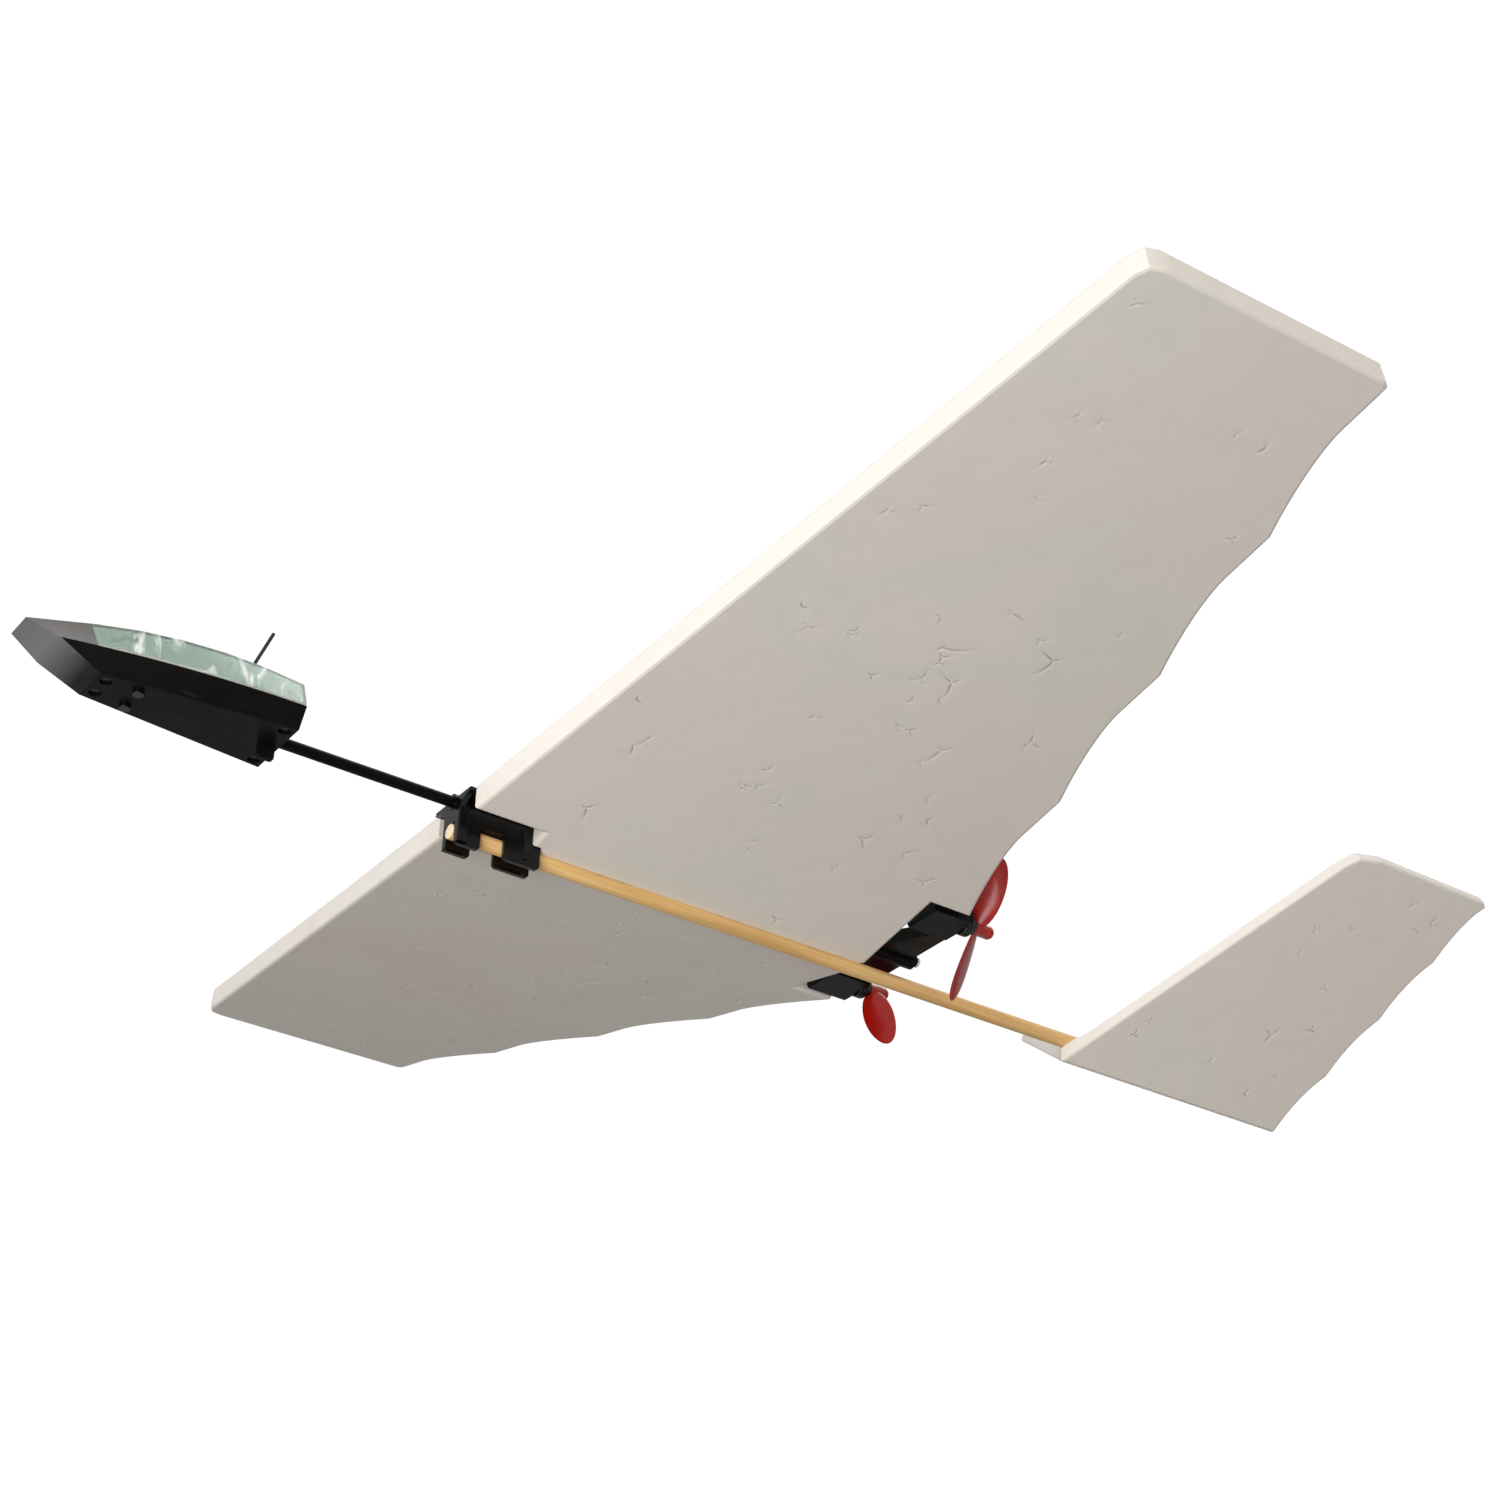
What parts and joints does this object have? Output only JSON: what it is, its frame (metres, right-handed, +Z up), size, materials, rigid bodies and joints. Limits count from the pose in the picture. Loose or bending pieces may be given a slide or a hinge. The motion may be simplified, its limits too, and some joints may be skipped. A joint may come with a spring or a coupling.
{
  "type": "model glider",
  "caption": "Foam model glider with swept wing and V-tail on a wooden dowel, carrying a clip-on nose pod, carbon rod and twin pusher propellers.",
  "frame": {"origin": "centre of the whole aircraft's box, on its centre line", "axes": "+X to port along the span, +Y aft (the nose points to -Y), +Z up"},
  "size_m": [0.6074, 0.5512, 0.0855],
  "materials": {
    "pod_black": "satin",
    "nose_grey": "matte",
    "frame_grey": "satin",
    "clear_plastic": "gloss",
    "circuit_green": "satin",
    "tinned_metal": "satin",
    "chip_black": "matte",
    "led_white": "gloss",
    "antenna_black": "satin",
    "battery_foil": "satin",
    "pad_white": "matte",
    "button_black": "gloss",
    "screw_steel": "satin",
    "carbon": "satin",
    "wire_red": "satin",
    "cap_white": "satin",
    "clip_black": "satin",
    "carrier_black": "matte",
    "motor_can": "satin",
    "motor_cap": "gloss",
    "shaft_steel": "polished",
    "propeller_red": "gloss",
    "dowel_wood": "satin",
    "foam": "matte"
  },
  "bodies": {
    "airframe": {"pod_hull": "pod_black", "nose_bumper": "nose_grey", "deck_frame": "frame_grey", "clear_cover": "clear_plastic", "circuit_board": "circuit_green", "radio_shield": "tinned_metal", "board_chips": "chip_black", "status_leds": "led_white", "usb_socket": "tinned_metal", "antenna": "antenna_black", "battery": "battery_foil", "battery_pad": "pad_white", "button_switches": "tinned_metal", "button_board": "circuit_green", "skid_fin": "pod_black", "pod_screws": "screw_steel", "carbon_rod": "carbon", "motor_wires": "wire_red", "rod_end_cap": "cap_white", "front_clip": "clip_black", "carrier_lower": "carrier_black", "carrier_upper": "carrier_black", "motor_port": "motor_can", "motor_starboard": "motor_can", "motor_cap_port": "motor_cap", "motor_cap_starboard": "motor_cap", "dowel": "dowel_wood", "wing_port": "foam", "wing_starboard": "foam", "tail_port": "foam", "tail_starboard": "foam"},
    "port_propeller": {"shaft_port": "shaft_steel", "propeller_port": "propeller_red"},
    "starboard_propeller": {"shaft_starboard": "shaft_steel", "propeller_starboard": "propeller_red"},
    "power_button": {"power_button": "button_black"},
    "link_button": {"link_button": "button_black"}
  },
  "joints": [
    {"name": "port_propeller_spin", "type": "hinge", "parent": "airframe", "child": "port_propeller", "pos_m": [0.0318, 0.0827, -0.01698], "axis": [0, 1, 0], "continuous": true},
    {"name": "starboard_propeller_spin", "type": "hinge", "parent": "airframe", "child": "starboard_propeller", "pos_m": [-0.0318, 0.0827, -0.01698], "axis": [0, 1, 0], "continuous": true},
    {"name": "power_button_press", "type": "slide", "parent": "airframe", "child": "power_button", "axis": [0, 0, 1], "range_m": [0, 0.0008], "stiffness_N_per_m": 400, "springref_m": -0.0003},
    {"name": "link_button_press", "type": "slide", "parent": "airframe", "child": "link_button", "axis": [0, 0, 1], "range_m": [0, 0.0008], "stiffness_N_per_m": 400, "springref_m": -0.0003}
  ]
}
